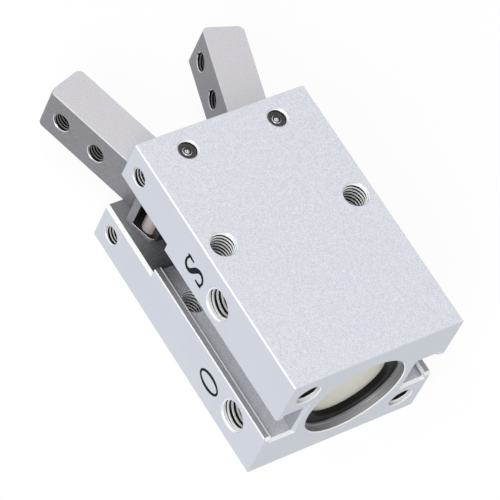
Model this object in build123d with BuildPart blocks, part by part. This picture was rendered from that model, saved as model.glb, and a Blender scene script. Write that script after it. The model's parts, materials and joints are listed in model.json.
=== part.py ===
# Two-finger angular pneumatic gripper, 16 mm bore, double acting. Millimetres.
# X runs across the two fingers, +Y points along the fingers, +Z leaves the large mounting face.
# The origin is the centre of the rear locating bore's mouth, and the gripper lies on its rear plate.
# The fingers are drawn open, with the piston fully forward.
from build123d import *
from math import cos, hypot, radians, sin, sqrt
import os

os.makedirs("parts", exist_ok=True)

# Body block
body_width = 30.6
body_thickness = 23.6
long_edge_chamfer = 0.2
end_edge_chamfer = 0.1
cavity_edge_chamfer = 0.5
chamfer_angle = 45.0

# Finger cavity, open at both sides and at the finger end
cavity_width = 8.2
cavity_depth = 13.2

# Switch slot down each side, a T in section
slot_mouth_width = 5.2
slot_lip = 1.4
slot_undercut_width = 7.0
slot_mouth_chamfer = 0.15
slot_lip_chamfer = 0.3
slot_end_chamfer = 0.45
slot_wall = 1.4

# Cylinder, and the wall between it and the finger cavity
cylinder_radius = 8.0
locating_bore_step = 0.5
locating_bore_depth = 1.2
groove_lip = 0.3
groove_lip_step = 0.15
ring_thickness = 1.1
ring_groove_depth = 0.75
mouth_chamfer = 0.15
guide_wall = 10.7

# Rear cap and what holds it
cap_clearance = 0.02
cap_length = 2.8
cap_edge_chamfer = 0.2
cap_seal_start = 0.7
cap_seal_width = 1.4
cap_seal_depth = 1.15
ring_section = 1.5
ring_gap_angle = 34.0
ring_eye_lead_angle = 7.0
ring_eye_drop = 0.35
ring_eye_radius = 1.1
ring_eye_hole_radius = 0.5
ring_clearance = 0.1
bumper_thickness = 0.9
bumper_width = 1.7

# Rod and its guide
rod_radius = 3.0
slide_clearance = 0.02
rod_hole_clearance = 0.3
rod_end_chamfer = 0.2
rod_seal_section = 2.2
rod_seal_pocket_depth = 2.6
rod_seal_length = 1.6
stopper_thickness = 0.9
bush_wall = 1.4
bush_shoulder = 2.2
seal_pocket_gap = 0.05

# Piston
piston_clearance = 0.12
piston_end_step = 1.1
piston_end_length = 1.9
piston_front_gap = 0.1
piston_rear_gap = 0.15
piston_groove_depth = 1.8
piston_wall = 0.6
piston_seal_width = 1.8
magnet_width = 2.2
magnet_recess = 0.35
wear_ring_width = 1.3
wear_ring_depth = 0.8

# Finger pivots and drive
pivot_x = 8.1
pivot_inset = 3.6
pivot_pin_radius = 1.5
pivot_pin_recess = 0.45
pin_end_chamfer = 0.2
open_angle = 17.0
closing_angle = 22.0
drive_arm = 4.6
nose_radius = 1.3

# Finger
finger_side_gap = 0.1
finger_outer_face = 3.2
finger_inner_face = 3.65
finger_reach = 22.4
grip_relief_length = 2.6
grip_relief_depth = 0.3
tip_corner_radius = 1.0
finger_edge_chamfer = 0.15
root_outer_face = 5.85
root_top = 1.85
root_bottom = 3.4
root_corner_radius = 0.8
shoulder_radius = 0.5
hub_radius = 3.4
pocket_cheek = 1.0
pocket_top = 0.6
pocket_depth = 3.25
finger_hole_tip_distance = 3.7
finger_hole_spacing = 7.0

# Side roller in the root of each finger
roller_radius = 1.35
roller_pin_radius = 0.6
roller_offset = 4.25
roller_drop = 1.6
roller_side_gap = 0.1
roller_seat_gap = 0.08
roller_pin_recess = 0.1

# Crosshead on the rod's end
crosshead_finger_gap = 0.55
crosshead_side_gap = 0.15
flange_thickness = 1.1
nose_tip_gap = 0.5
nose_gap = 0.04
wing_thickness = 1.2
wing_overhang = 0.7
wing_side_gap = 0.3
spigot_step = 1.0
spigot_end_gap = 0.4
cross_pin_radius = 0.75
cross_pin_height = 1.9

# Threaded holes, drawn at the thread's nominal radius
m3_radius = 1.5
m4_radius = 2.0
m5_radius = 2.5
thread_chamfer = 0.12
port_chamfer = 0.28
mount_hole_side_inset = 3.3
mount_hole_end_inset = 19.75
rear_hole_side_inset = 3.9
rear_hole_face_inset = 4.2
rear_hole_depth = 8.0
side_hole_end_inset = 3.2
side_hole_cavity_distance = 3.6
side_hole_depth = 3.0
shut_port_inset = 2.04
open_port_inset = 1.75
port_slot_wall = 0.6
port_depth = 5.6
air_hole_run_in = 0.5
air_hole_radius = 0.7

# A thin allowance where a pressed piece sits in its hole
press_allowance = 0.01
# How far a cutting shape runs past the face that it opens
overrun = 1.0

# Radii round the cylinder's axis
locating_bore_radius = cylinder_radius + locating_bore_step
groove_lip_radius = cylinder_radius + groove_lip_step
ring_groove_radius = cylinder_radius + ring_groove_depth
piston_radius = cylinder_radius - piston_clearance
piston_end_radius = cylinder_radius - piston_end_step
piston_groove_floor = cylinder_radius - piston_groove_depth
bumper_inner_radius = piston_end_radius - bumper_width
rod_hole_radius = rod_radius + rod_hole_clearance
rod_seal_pocket_radius = rod_radius + rod_seal_section
bush_radius = rod_radius + slide_clearance + bush_wall

# Drive: the nose swings through the same angle above and below the pivot's level
half_swing = radians(closing_angle / 2)
nose_rise = drive_arm * sin(half_swing)
drive_stroke = 2 * nose_rise
nose_angle = radians(closing_angle / 2 - open_angle)
nose_in = drive_arm * cos(nose_angle)
nose_up = drive_arm * sin(nose_angle)

# The rear end, from the mouth of the locating bore to the cap
ring_start_y = locating_bore_depth + groove_lip
cap_start_y = ring_start_y + ring_thickness
cap_end_y = cap_start_y + cap_length
cap_seal_y = cap_start_y + cap_seal_start

# The cylinder is as long as the piston, its stroke and both bumpers need, to a tenth of a millimetre
piston_length = (2 * piston_end_length + piston_seal_width + magnet_width + wear_ring_width
                 + 4 * piston_wall)
cylinder_length = round(piston_length + drive_stroke + 2 * bumper_thickness
                        + piston_front_gap + piston_rear_gap, 1)
front_wall_y = cap_end_y + cylinder_length
piston_front_y = front_wall_y - bumper_thickness - piston_front_gap
piston_rear_y = piston_front_y - piston_length
seal_groove_y = piston_front_y - piston_end_length - piston_wall - piston_seal_width
magnet_groove_y = seal_groove_y - piston_wall - magnet_width
wear_groove_y = magnet_groove_y - piston_wall - wear_ring_width

# The wall with the rod's seal and bush, the finger cavity and the body's finger end
seal_pocket_end_y = front_wall_y + rod_seal_pocket_depth
rod_seal_y = seal_pocket_end_y - rod_seal_length
stopper_y = rod_seal_y - seal_pocket_gap - stopper_thickness
cavity_floor_y = front_wall_y + guide_wall
bush_end_y = cavity_floor_y - bush_shoulder
body_length = cavity_floor_y + cavity_depth
pivot_y = body_length - pivot_inset
nose_y = pivot_y + nose_rise

# Places across the body, and of the holes in it
half_width = body_width / 2
half_thickness = body_thickness / 2
half_cavity = cavity_width / 2
slot_floor_x = ring_groove_radius + slot_wall
mount_hole_x = half_width - mount_hole_side_inset
mount_hole_y = body_length - mount_hole_end_inset
rear_hole_x = half_width - rear_hole_side_inset
rear_hole_z = half_thickness - rear_hole_face_inset
side_hole_y = body_length - side_hole_end_inset
side_hole_z = half_cavity + side_hole_cavity_distance
shut_port_y = front_wall_y - shut_port_inset
open_port_y = cap_end_y + open_port_inset
port_z = slot_undercut_width / 2 + port_slot_wall + m5_radius

finger_half = half_cavity - finger_side_gap
pocket_half = finger_half - pocket_cheek
tip_hole_v = finger_reach - finger_hole_tip_distance
root_hole_v = tip_hole_v - finger_hole_spacing
tilt = radians(open_angle)
roller_x = pivot_x + roller_offset * cos(tilt) - roller_drop * sin(tilt)
roller_y = pivot_y - roller_offset * sin(tilt) - roller_drop * cos(tilt)
wing_reach = roller_x + wing_overhang
wing_half_depth = pocket_half - wing_side_gap
wing_top_y = roller_y - roller_radius - roller_seat_gap
wing_bottom_y = wing_top_y - wing_thickness
channel_low_y = nose_y - nose_radius - nose_gap
channel_high_y = nose_y + nose_radius + nose_gap
crosshead_top_y = channel_high_y + flange_thickness
crosshead_half_width = pivot_x - finger_inner_face - crosshead_finger_gap
web_half_width = pivot_x - drive_arm - nose_radius - nose_tip_gap
crosshead_half_depth = half_cavity - crosshead_side_gap
cross_pin_y = wing_bottom_y + cross_pin_height
spigot_radius = rod_radius - spigot_step
spigot_end_y = channel_low_y - spigot_end_gap

side_sign = {"left": -1, "right": 1}
# The threaded holes in the rear face lie on one diagonal: x and z of each
rear_holes = [(-rear_hole_x, rear_hole_z), (rear_hole_x, -rear_hole_z)]
# The ports on the left face: y and z of each
ports = [(shut_port_y, port_z), (open_port_y, -port_z)]


def section(y):
    """A plane across the gripper at y, facing the rear, with X across and Z up."""
    return Plane(origin=(0, y, 0), x_dir=(1, 0, 0), z_dir=(0, -1, 0))


def band(inner, outer, start, end, mode=Mode.ADD):
    """One ring's half section: two radii, and where it starts and ends along Y."""
    with Locations(((inner + outer) / 2, (start + end) / 2)):
        Rectangle(outer - inner, end - start, mode=mode)


def slot_profile(sign, growth):
    """The T of one switch slot, grown outwards all round by growth."""
    mouth_start = half_width - slot_lip
    floor = slot_floor_x - growth
    with Locations((sign * (mouth_start + half_width + overrun) / 2, 0)):
        Rectangle(slot_lip + overrun + growth, slot_mouth_width + 2 * growth)
    with Locations((sign * (mouth_start + growth + floor) / 2, 0)):
        Rectangle(mouth_start + growth - floor, slot_undercut_width + 2 * growth)


def slot_flare(sign, start_x, margin, size, outwards):
    """The mouth of one switch slot widening towards start_x, and on past it for margin."""
    way = 1 if outwards else -1
    height = size + margin
    with Locations((sign * (start_x + way * (height / 2 - size)), 0)):
        Trapezoid(slot_mouth_width + 2 * height, height, chamfer_angle, rotation=90 * sign * way)


def finger_plane(side):
    """A finger's own plane: origin at its pivot, x inwards, y along the finger to its tip."""
    sign = side_sign[side]
    inward = Vector(-sign * cos(tilt), sin(tilt), 0)
    return Plane(origin=(sign * pivot_x, pivot_y, 0), x_dir=inward, z_dir=(0, 0, -sign))


# Gripper body: one block with the cylinder, the finger cavity, the switch slots and all tapped holes
with BuildPart() as gripper_body:
    with BuildSketch(section(0)):
        Rectangle(body_width, body_thickness)
    extrude(amount=-body_length)
    chamfer(gripper_body.edges().filter_by(Axis.Y), long_edge_chamfer)
    for end_face in gripper_body.faces().filter_by(Axis.Y):
        chamfer(end_face.outer_wire().edges(), end_edge_chamfer)

    # Finger cavity, through from side to side, with a broad chamfer on the rear plate's long edges
    with BuildSketch(section(body_length)):
        Rectangle(body_width + 2 * overrun, cavity_width)
    extrude(amount=cavity_depth, mode=Mode.SUBTRACT)
    for plate_z, size in ((-half_cavity, cavity_edge_chamfer), (half_cavity, end_edge_chamfer)):
        rims = gripper_body.edges().filter_by(Axis.Y).filter_by_position(
            Axis.Z, plate_z - press_allowance, plate_z + press_allowance)
        chamfer(rims, size)

    # Switch slots, from the rear face up to the cavity, with chamfered lips and ends
    for sign in side_sign.values():
        with BuildSketch(section(0)):
            slot_profile(sign, 0)
            slot_flare(sign, half_width, overrun, slot_mouth_chamfer, outwards=True)
            slot_flare(sign, half_width - slot_lip, 0, slot_lip_chamfer, outwards=False)
        extrude(amount=-cavity_floor_y, mode=Mode.SUBTRACT)
        with BuildSketch(section(0)):
            slot_profile(sign, slot_end_chamfer)
        extrude(amount=-slot_end_chamfer, taper=chamfer_angle, mode=Mode.SUBTRACT)

    # Cylinder with its mouth, snap ring groove, rod seal pocket and rod bush seat
    with BuildSketch(Plane.XY):
        band(0, locating_bore_radius, 0, locating_bore_depth)
        band(0, groove_lip_radius, 0, ring_start_y)
        band(0, ring_groove_radius, ring_start_y, cap_start_y)
        band(0, cylinder_radius, cap_start_y, front_wall_y)
        band(0, rod_seal_pocket_radius, front_wall_y, seal_pocket_end_y)
        band(0, bush_radius, seal_pocket_end_y, bush_end_y)
        band(0, rod_hole_radius, bush_end_y, cavity_floor_y)
    revolve(axis=Axis.Y, mode=Mode.SUBTRACT)
    mouth = gripper_body.edges().filter_by(GeomType.CIRCLE).filter_by_position(Axis.Y, -0.01, 0.01)
    chamfer(mouth, mouth_chamfer)

    # Pivot pin holes through both plates
    with Locations(*[Location((sign * pivot_x, pivot_y, half_thickness)) for sign in (-1, 1)]):
        CounterSinkHole(pivot_pin_radius + press_allowance, pivot_pin_radius + 2 * thread_chamfer,
                        counter_sink_angle=2 * chamfer_angle)

    # Mounting holes through both plates, crossing the switch slots
    with Locations(*[Location((sign * mount_hole_x, mount_hole_y, half_thickness)) for sign in (-1, 1)]):
        CounterSinkHole(m4_radius, m4_radius + thread_chamfer, counter_sink_angle=2 * chamfer_angle)

    # Threaded holes in the rear face
    with Locations(*[section(0) * Location((x, z, 0)) for x, z in rear_holes]):
        CounterSinkHole(m4_radius, m4_radius + thread_chamfer, depth=rear_hole_depth,
                        counter_sink_angle=2 * chamfer_angle)

    # Small threaded holes beside the cavity, on the port side
    port_side = Plane(origin=(-half_width, 0, 0), x_dir=(0, -1, 0), z_dir=(-1, 0, 0))
    with Locations(*[port_side * Location((-side_hole_y, z, 0)) for z in (-side_hole_z, side_hole_z)]):
        CounterSinkHole(m3_radius, m3_radius + thread_chamfer, depth=side_hole_depth,
                        counter_sink_angle=2 * chamfer_angle)

    # Air ports, each with a drilled passage into its end of the cylinder
    with Locations(*[port_side * Location((-y, z, 0)) for y, z in ports]):
        CounterSinkHole(m5_radius, m5_radius + port_chamfer, depth=port_depth,
                        counter_sink_angle=2 * chamfer_angle)
    with Locations(*[port_side * Location((-y, z, 0)) for y, z in ports]):
        Hole(air_hole_radius, depth=half_width - sqrt(cylinder_radius**2 - port_z**2) + air_hole_run_in)

    # The same chamfers on the rear plate's open face
    lower_rims = gripper_body.edges().filter_by(GeomType.CIRCLE).filter_by_position(
        Axis.Z, -half_thickness - 0.01, -half_thickness + 0.01)
    chamfer(lower_rims, thread_chamfer)

# Rear cap: a plain disc with one seal groove, held by the snap ring
cap_radius = cylinder_radius - cap_clearance
with BuildPart() as rear_cap:
    with BuildSketch(Plane.XY):
        band(0, cap_radius, cap_start_y, cap_end_y)
        band(cylinder_radius - cap_seal_depth, cylinder_radius, cap_seal_y,
             cap_seal_y + cap_seal_width, mode=Mode.SUBTRACT)
    revolve(axis=Axis.Y)
    ends = rear_cap.edges().filter_by(GeomType.CIRCLE).group_by(Axis.Y)
    chamfer(ends[0], cap_edge_chamfer)

with BuildPart() as cap_seal:
    with BuildSketch(Plane.XY):
        with Locations((cylinder_radius - cap_seal_depth / 2, cap_seal_y + cap_seal_width / 2)):
            Circle(cap_seal_depth / 2 - press_allowance)
    revolve(axis=Axis.Y)

# Snap ring: an open ring with an eye at each end, in the groove behind the locating bore
ring_outer = ring_groove_radius - ring_clearance
ring_inner = groove_lip_radius - ring_section
with BuildPart() as snap_ring:
    with BuildSketch(section(ring_start_y + ring_clearance / 2)):
        Circle(ring_outer)
        Circle(ring_inner, mode=Mode.SUBTRACT)
        with BuildLine():
            gap_edge = PolarLine((0, 0), cylinder_radius * 2, 90 - ring_gap_angle / 2)
            PolarLine((0, 0), cylinder_radius * 2, 90 + ring_gap_angle / 2)
            Line(gap_edge @ 1, (-(gap_edge @ 1).X, (gap_edge @ 1).Y))
        make_face(mode=Mode.SUBTRACT)
        eye_angle = ring_gap_angle / 2 + ring_eye_lead_angle
        with PolarLocations(ring_inner - ring_eye_drop, 2, start_angle=90 - eye_angle,
                            angular_range=4 * eye_angle):
            Circle(ring_eye_radius)
            Circle(ring_eye_hole_radius, mode=Mode.SUBTRACT)
    extrude(amount=-(ring_thickness - ring_clearance))

# Rubber bumpers at both ends of the stroke
with BuildPart() as rear_bumper:
    with BuildSketch(Plane.XY):
        band(bumper_inner_radius, piston_end_radius, cap_end_y, cap_end_y + bumper_thickness)
    revolve(axis=Axis.Y)

with BuildPart() as front_bumper:
    with BuildSketch(Plane.XY):
        band(bumper_inner_radius, piston_end_radius, front_wall_y - bumper_thickness, front_wall_y)
    revolve(axis=Axis.Y)

# Rod seal, the washer that holds it, and the bush that guides the rod
with BuildPart() as rod_seal:
    with BuildSketch(Plane.XY):
        band(rod_radius + slide_clearance, rod_seal_pocket_radius - press_allowance,
             rod_seal_y, seal_pocket_end_y)
        lip = rod_seal_length / 3
        middle = (rod_radius + rod_seal_pocket_radius) / 2
        band(middle - lip / 2, middle + lip / 2, rod_seal_y, rod_seal_y + 2 * lip, mode=Mode.SUBTRACT)
    revolve(axis=Axis.Y)

with BuildPart() as seal_stopper:
    with BuildSketch(Plane.XY):
        band(rod_hole_radius, rod_seal_pocket_radius - press_allowance,
             stopper_y, stopper_y + stopper_thickness)
    revolve(axis=Axis.Y)

with BuildPart() as rod_bush:
    with BuildSketch(Plane.XY):
        band(rod_radius + slide_clearance, bush_radius - press_allowance, seal_pocket_end_y, bush_end_y)
    revolve(axis=Axis.Y)

# Piston with grooves for its seal, its switch magnet and its wear ring
with BuildPart() as piston:
    with BuildSketch(Plane.XY):
        band(0, piston_radius, piston_rear_y + piston_end_length, piston_front_y - piston_end_length)
        band(0, piston_end_radius, piston_rear_y, piston_front_y)
        band(piston_groove_floor, cylinder_radius, seal_groove_y,
             seal_groove_y + piston_seal_width, mode=Mode.SUBTRACT)
        band(piston_groove_floor, cylinder_radius, magnet_groove_y,
             magnet_groove_y + magnet_width, mode=Mode.SUBTRACT)
        band(cylinder_radius - wear_ring_depth, cylinder_radius, wear_groove_y,
             wear_groove_y + wear_ring_width, mode=Mode.SUBTRACT)
        band(0, rod_radius + press_allowance, piston_rear_y + piston_end_length, piston_front_y,
             mode=Mode.SUBTRACT)
    revolve(axis=Axis.Y)

with BuildPart() as piston_seal:
    with BuildSketch(Plane.XY):
        band(piston_groove_floor + press_allowance, cylinder_radius - slide_clearance,
             seal_groove_y + press_allowance, seal_groove_y + piston_seal_width - press_allowance)
        notch = piston_seal_width / 3
        seal_middle = seal_groove_y + piston_seal_width / 2
        band(cylinder_radius - notch, cylinder_radius, seal_middle - notch / 2,
             seal_middle + notch / 2, mode=Mode.SUBTRACT)
    revolve(axis=Axis.Y)

with BuildPart() as magnet_ring:
    with BuildSketch(Plane.XY):
        band(piston_groove_floor + press_allowance, cylinder_radius - magnet_recess,
             magnet_groove_y + press_allowance, magnet_groove_y + magnet_width - press_allowance)
    revolve(axis=Axis.Y)

with BuildPart() as wear_ring:
    with BuildSketch(Plane.XY):
        band(cylinder_radius - wear_ring_depth + press_allowance, cylinder_radius - slide_clearance,
             wear_groove_y + press_allowance, wear_groove_y + wear_ring_width - press_allowance)
    revolve(axis=Axis.Y)

# Rod: plain shaft, with a thinner spigot that is pinned into the crosshead
with BuildPart() as piston_rod:
    with BuildSketch(Plane.XY):
        band(0, rod_radius, piston_rear_y + piston_end_length, wing_bottom_y)
        band(0, spigot_radius, wing_bottom_y, spigot_end_y)
    revolve(axis=Axis.Y)
    chamfer(piston_rod.edges().filter_by(GeomType.CIRCLE).group_by(Axis.Y)[-1], rod_end_chamfer)
    with Locations((0, cross_pin_y, rod_radius)):
        Hole(cross_pin_radius + press_allowance)

# Crosshead: two channels for the finger noses, and a wing under each side roller
with BuildPart() as crosshead:
    with BuildSketch(Plane.XY):
        with Locations((0, (wing_bottom_y + crosshead_top_y) / 2)):
            Rectangle(2 * crosshead_half_width, crosshead_top_y - wing_bottom_y)
        for sign in side_sign.values():
            with Locations((sign * (web_half_width + crosshead_half_width) / 2, nose_y)):
                Rectangle(crosshead_half_width - web_half_width, channel_high_y - channel_low_y,
                          mode=Mode.SUBTRACT)
    extrude(amount=crosshead_half_depth, both=True)
    with BuildSketch(Plane.XY):
        with Locations((0, (wing_bottom_y + wing_top_y) / 2)):
            Rectangle(2 * wing_reach, wing_thickness)
    extrude(amount=wing_half_depth, both=True)
    with BuildSketch(section(wing_bottom_y)):
        Circle(spigot_radius + press_allowance)
    extrude(amount=-(spigot_end_y - wing_bottom_y + press_allowance), mode=Mode.SUBTRACT)
    with Locations((0, cross_pin_y, crosshead_half_depth)):
        Hole(cross_pin_radius + press_allowance)
    corners = crosshead.edges().filter_by(Axis.Z).group_by(Axis.Y)[-1]
    fillet(corners, flange_thickness / 2)

with BuildPart() as cross_pin:
    with BuildSketch(Plane.XY.offset(-crosshead_half_depth)):
        with Locations((0, cross_pin_y)):
            Circle(cross_pin_radius)
    extrude(amount=2 * crosshead_half_depth)

shared_nodes = {
    "gripper_body": gripper_body,
    "rear_cap": rear_cap,
    "cap_seal": cap_seal,
    "snap_ring": snap_ring,
    "rear_bumper": rear_bumper,
    "front_bumper": front_bumper,
    "rod_seal": rod_seal,
    "seal_stopper": seal_stopper,
    "rod_bush": rod_bush,
    "piston": piston,
    "piston_seal": piston_seal,
    "magnet_ring": magnet_ring,
    "wear_ring": wear_ring,
    "piston_rod": piston_rod,
    "crosshead": crosshead,
    "cross_pin": cross_pin,
}
for name, builder in shared_nodes.items():
    builder.part.label = name
    export_step(builder.part, f"parts/{name}.step")

# Each side has a finger, its pivot pin, and a side roller on a pin of its own
for side, sign in side_sign.items():
    plane = finger_plane(side)
    arm_width = finger_outer_face + finger_inner_face
    arm_middle = (finger_inner_face - finger_outer_face) / 2

    with BuildPart() as finger:
        # Arm, root block, hub round the pivot and the nose that the crosshead drives
        with BuildSketch(plane):
            with Locations((arm_middle, finger_reach / 2)):
                Rectangle(arm_width, finger_reach)
            with Locations((-root_outer_face / 2, (root_top - root_bottom) / 2)):
                Rectangle(root_outer_face, root_top + root_bottom)
            # The flat gripping face starts above a shallow relief
            with Locations((finger_inner_face, grip_relief_length / 2)):
                Rectangle(2 * grip_relief_depth, grip_relief_length, mode=Mode.SUBTRACT)
            Circle(hub_radius)
            with Locations((nose_in, nose_up)):
                Circle(nose_radius)
            with Locations(((nose_in + hub_radius / 2) / 2, nose_up / 2)):
                Rectangle(nose_in - hub_radius / 2, nose_radius)
        extrude(amount=finger_half, both=True)

        tips = finger.edges().filter_by(Axis.Z)
        tips = tips.sort_by(lambda edge: plane.to_local_coords(edge.center()).Y)[-2:]
        fillet(tips, tip_corner_radius)
        upright = finger.edges().filter_by(Axis.Z)
        lowest = upright.sort_by(lambda edge: plane.to_local_coords(edge.center()).X)
        root_edges = [edge for edge in lowest[:2] if plane.to_local_coords(edge.center()).Y < 0]
        fillet(root_edges, root_corner_radius)
        shoulder = [edge for edge in finger.edges().filter_by(Axis.Z)
                    if (plane.to_local_coords(edge.center())
                        - Vector(-finger_outer_face, root_top, 0)).length < press_allowance]
        fillet(shoulder, shoulder_radius)

        for broad_face in finger.faces().filter_by(Axis.Z):
            chamfer(broad_face.outer_wire().edges(), finger_edge_chamfer)

        # Pocket for the side roller, open outwards and towards the rear
        with BuildSketch(plane):
            pocket_left = root_outer_face + overrun
            pocket_low = root_bottom + overrun
            with Locations((-pocket_left + (pocket_depth + overrun) / 2, (pocket_top - pocket_low) / 2)):
                Rectangle(pocket_depth + overrun, pocket_top + pocket_low)
        extrude(amount=pocket_half, both=True, mode=Mode.SUBTRACT)

        # Pivot bore, roller pin holes and the two threaded holes through the arm
        with Locations(plane.offset(finger_half) * Location((0, 0, 0))):
            Hole(pivot_pin_radius + slide_clearance)
        with Locations(plane.offset(finger_half) * Location((-roller_offset, -roller_drop, 0))):
            Hole(roller_pin_radius + press_allowance)
        for face, normal in ((-finger_outer_face, -plane.x_dir), (finger_inner_face, plane.x_dir)):
            entry = Plane(origin=plane.from_local_coords(Vector(face, 0, 0)),
                          x_dir=plane.y_dir, z_dir=normal)
            with Locations(*[entry * Location((v, 0, 0)) for v in (tip_hole_v, root_hole_v)]):
                CounterSinkHole(m3_radius, m3_radius + thread_chamfer, depth=arm_width,
                                counter_sink_angle=2 * chamfer_angle)

    with BuildPart() as pivot_pin:
        length = body_thickness - 2 * pivot_pin_recess
        with BuildSketch(Plane.XY.offset(-length / 2)):
            with Locations((sign * pivot_x, pivot_y)):
                Circle(pivot_pin_radius)
        extrude(amount=length)
        chamfer(pivot_pin.edges().filter_by(GeomType.CIRCLE), pin_end_chamfer)

    roller_half = pocket_half - roller_side_gap
    with BuildPart() as side_roller:
        with BuildSketch(plane.offset(-roller_half)):
            with Locations((-roller_offset, -roller_drop)):
                Circle(roller_radius)
                Circle(roller_pin_radius + slide_clearance, mode=Mode.SUBTRACT)
        extrude(amount=2 * roller_half)

    pin_half = finger_half - roller_pin_recess
    with BuildPart() as roller_pin:
        with BuildSketch(plane.offset(-pin_half)):
            with Locations((-roller_offset, -roller_drop)):
                Circle(roller_pin_radius)
        extrude(amount=2 * pin_half)

    side_nodes = {
        "finger": finger,
        "pivot_pin": pivot_pin,
        "side_roller": side_roller,
        "roller_pin": roller_pin,
    }
    for name, builder in side_nodes.items():
        builder.part.label = f"{name}_{side}"
        export_step(builder.part, f"parts/{name}_{side}.step")

rear_pitch_circle = 2 * hypot(rear_hole_x, rear_hole_z)
print("drive stroke", round(drive_stroke, 3), "mm for", closing_angle, "degrees")
print("rear thread pitch circle", round(rear_pitch_circle, 2), "mm")
print("roller centre", round(roller_y, 3), "crosshead top", round(crosshead_top_y, 3))
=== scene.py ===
# %% [markdown]
# # An angular pneumatic gripper
# The real object is a small aluminium block with a 16 mm air cylinder in it. Two steel fingers swing
# on pins at one end. This lesson dresses the exact CAD frame: it gives each surface its finish, cuts
# the thread turns, marks the two air ports, and sets a plain studio round the part.

import json
from math import cos, hypot, pi, radians, sin

import bmesh
import bpy
from mathutils import Matrix, Vector


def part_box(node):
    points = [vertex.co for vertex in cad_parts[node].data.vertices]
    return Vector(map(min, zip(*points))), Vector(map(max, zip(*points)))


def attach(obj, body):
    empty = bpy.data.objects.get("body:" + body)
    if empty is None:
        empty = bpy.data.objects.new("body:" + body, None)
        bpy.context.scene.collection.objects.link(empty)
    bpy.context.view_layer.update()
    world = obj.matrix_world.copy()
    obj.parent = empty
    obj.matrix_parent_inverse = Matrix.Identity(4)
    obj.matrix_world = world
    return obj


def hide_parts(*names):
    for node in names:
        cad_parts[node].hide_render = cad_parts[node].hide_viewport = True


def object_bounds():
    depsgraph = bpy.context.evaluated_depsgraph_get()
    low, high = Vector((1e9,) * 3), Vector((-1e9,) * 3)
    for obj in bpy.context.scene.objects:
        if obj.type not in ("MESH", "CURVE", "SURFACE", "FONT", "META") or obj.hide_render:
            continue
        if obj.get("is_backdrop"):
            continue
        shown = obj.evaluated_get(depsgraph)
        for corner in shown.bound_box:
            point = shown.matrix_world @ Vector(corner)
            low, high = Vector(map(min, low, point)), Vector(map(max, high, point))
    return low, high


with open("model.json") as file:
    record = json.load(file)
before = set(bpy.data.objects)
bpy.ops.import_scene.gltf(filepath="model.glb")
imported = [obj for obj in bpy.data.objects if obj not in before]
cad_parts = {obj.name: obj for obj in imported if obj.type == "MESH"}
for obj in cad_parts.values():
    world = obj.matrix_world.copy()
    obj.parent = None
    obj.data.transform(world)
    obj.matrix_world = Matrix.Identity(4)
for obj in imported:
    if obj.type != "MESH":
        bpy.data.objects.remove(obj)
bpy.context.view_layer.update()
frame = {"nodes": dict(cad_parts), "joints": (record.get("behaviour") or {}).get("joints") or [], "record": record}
nodes = frame["nodes"]
MM = 0.001

# %% [markdown]
# ## Sizes that the looks need
# Everything here is read from the frame where it can be: the body's box gives its faces, and the
# mounts in the record give most threaded holes their place, and the fingers' holes also their axis
# and length. Only what the frame doesn't hold, such as a thread's pitch, is written as a number of
# its own. These sizes are in millimetres, as in the CAD model, and MM turns them into the scene's metres.

# %% Sizes in mm
mounts = {mount["name"]: mount for mount in frame["record"]["mounts"]}
joints = {joint["name"]: joint for joint in frame["joints"]}
body_low, body_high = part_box("gripper_body")
half_width, body_length, half_thickness = (size / MM for size in body_high)
bore_radius = mounts["rear_locating_bore"]["dims"]["r_mm"]
cavity_half, cavity_floor = 4.1, 31.4
slot_mouth_half, slot_undercut_half, slot_floor, slot_lip = 2.6, 3.5, 10.15, 1.4
open_angle = radians(17)
print("body", [round(v / MM, 2) for v in (*body_low, *body_high)])

# %% [markdown]
# ## Shared shader groups
# Three effects come back in several finishes. A blasted or sintered surface has fine grains that
# catch the light one by one. A turned or ground surface has fine lines along one direction. A slot
# that ends in the dark cavity is given painted shade: grains that grow darker on their way there.
# Each is a node group with named inputs. The groups only put out masks, and the Principled shader
# stays in the material, where the exporter can read it.


# %% A node group with named sockets
def new_group(name, inputs, outputs):
    """An empty shader group. inputs maps a name to its default, outputs lists names."""
    group = bpy.data.node_groups.new(name, "ShaderNodeTree")
    for label, default in inputs.items():
        socket = group.interface.new_socket(label, in_out="INPUT", socket_type="NodeSocketFloat")
        socket.default_value = default
    for label in outputs:
        group.interface.new_socket(label, in_out="OUTPUT", socket_type="NodeSocketFloat")
    return group, group.nodes.new("NodeGroupInput"), group.nodes.new("NodeGroupOutput")


def math_node(tree, operation, first, second=None):
    """A Math node fed by sockets or plain numbers; returns its output socket."""
    node = tree.nodes.new("ShaderNodeMath")
    node.operation = operation
    for socket, value in zip(node.inputs, (first, second)):
        if value is None:
            continue
        if isinstance(value, (int, float)):
            socket.default_value = value
        else:
            tree.links.new(value, socket)
    return node.outputs[0]


def add_group(tree, group, **values):
    """One of the shared groups in a material, with its own values."""
    node = tree.nodes.new("ShaderNodeGroup")
    node.node_tree = group
    for label, value in values.items():
        node.inputs[label.replace("_", " ")].default_value = value
    return node


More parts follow.
